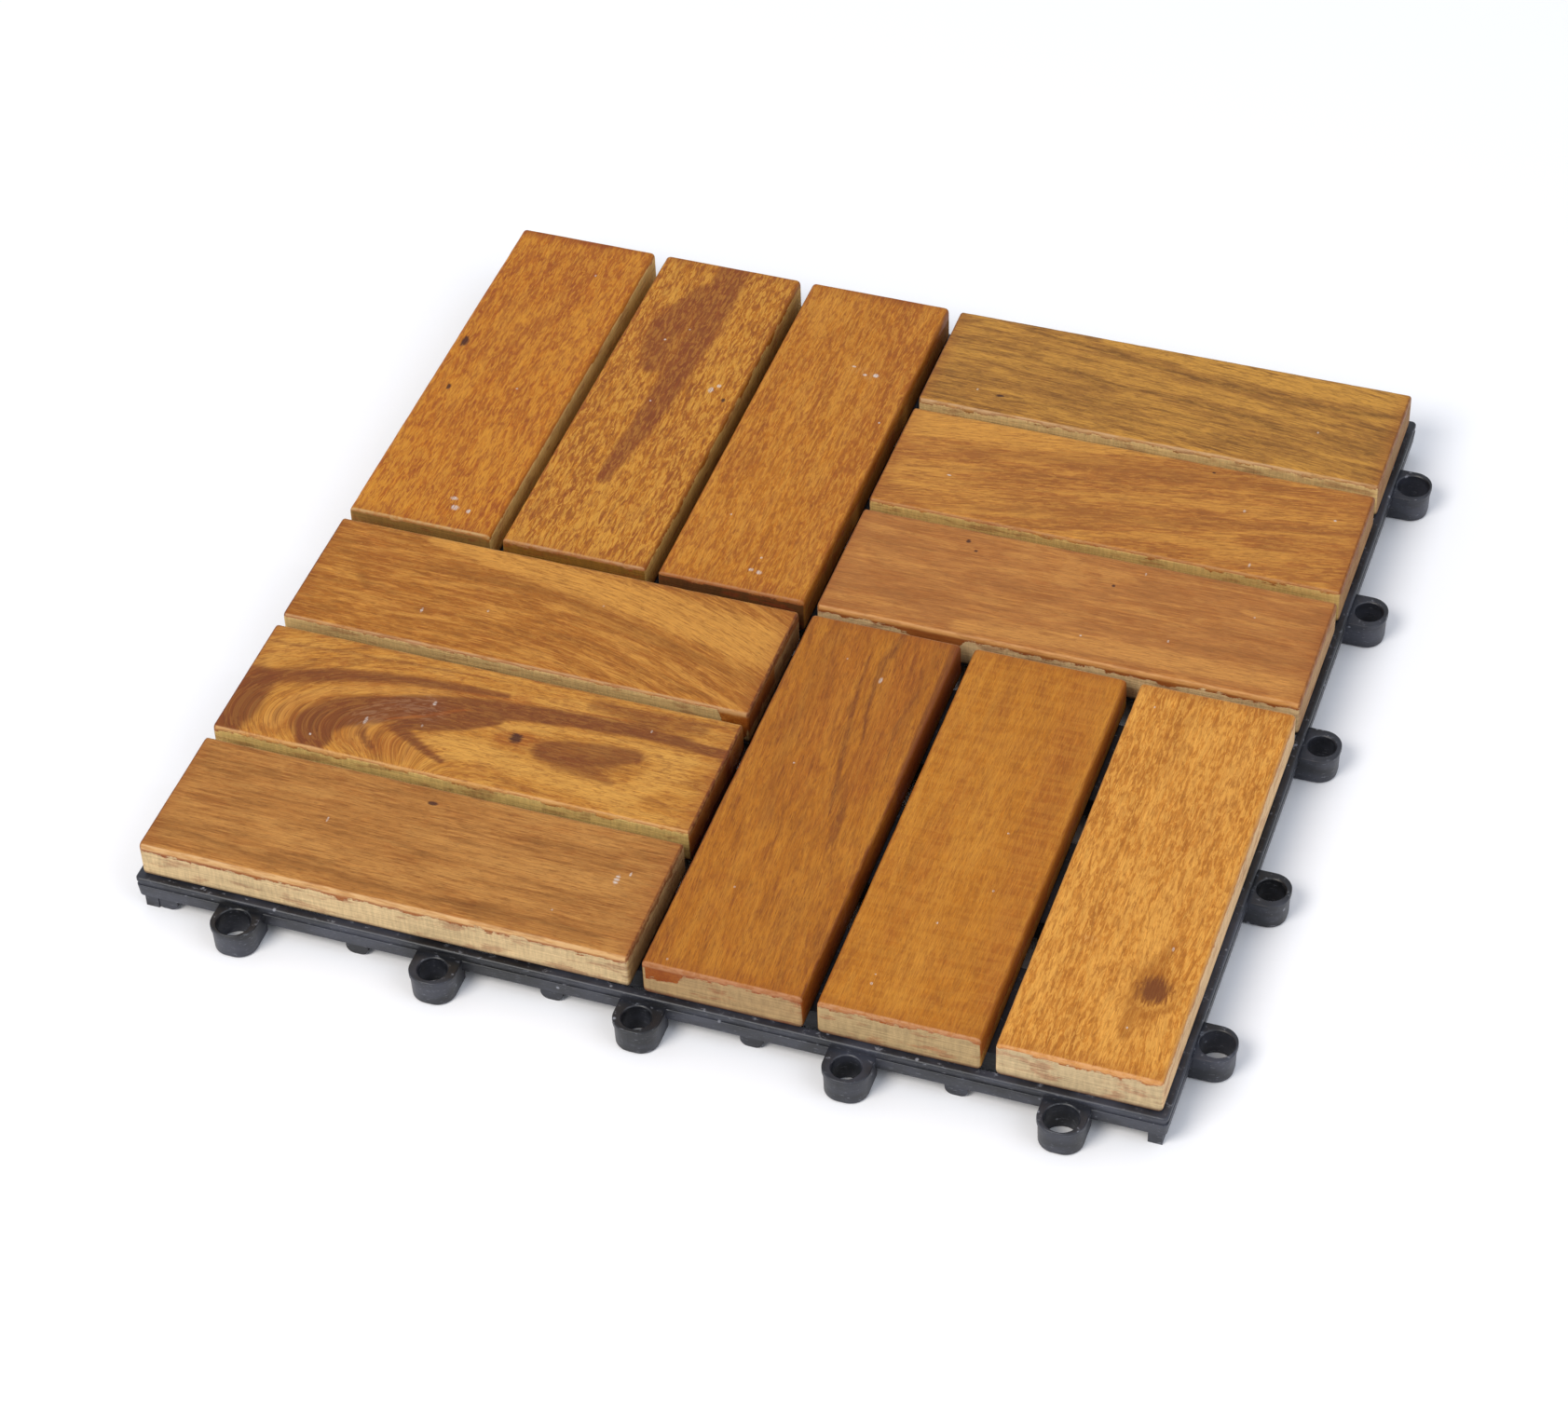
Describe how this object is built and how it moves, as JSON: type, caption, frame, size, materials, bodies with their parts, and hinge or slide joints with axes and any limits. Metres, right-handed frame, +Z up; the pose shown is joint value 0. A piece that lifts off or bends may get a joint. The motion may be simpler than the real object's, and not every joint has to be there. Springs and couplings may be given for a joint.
{
  "type": "interlocking deck tile",
  "caption": "Square outdoor floor tile of wood slats laid in alternating blocks on a black plastic grid, with loops on two edges and pegs on the other two to click tiles together",
  "frame": {"origin": "on the floor under the middle of the outer box; the square of the tile itself is centred 5.35 mm to the left of it and 5.35 mm behind it, because the loops reach out 10.7 mm to the right and front", "axes": "+X to the right, the side with loops; +Y to the back, the side with pegs; +Z up, off the floor"},
  "size_m": [0.3106, 0.3106, 0.024],
  "materials": {
    "deck_wood": "satin",
    "base_plastic": "satin",
    "screw_steel": "satin"
  },
  "bodies": {
    "root": {"slat_front_left_1": "deck_wood", "slat_front_left_2": "deck_wood", "slat_front_left_3": "deck_wood", "slat_front_right_1": "deck_wood", "slat_front_right_2": "deck_wood", "slat_front_right_3": "deck_wood", "slat_back_right_1": "deck_wood", "slat_back_right_2": "deck_wood", "slat_back_right_3": "deck_wood", "slat_back_left_1": "deck_wood", "slat_back_left_2": "deck_wood", "slat_back_left_3": "deck_wood", "base_grid": "base_plastic", "slat_screws": "screw_steel"}
  },
  "joints": []
}
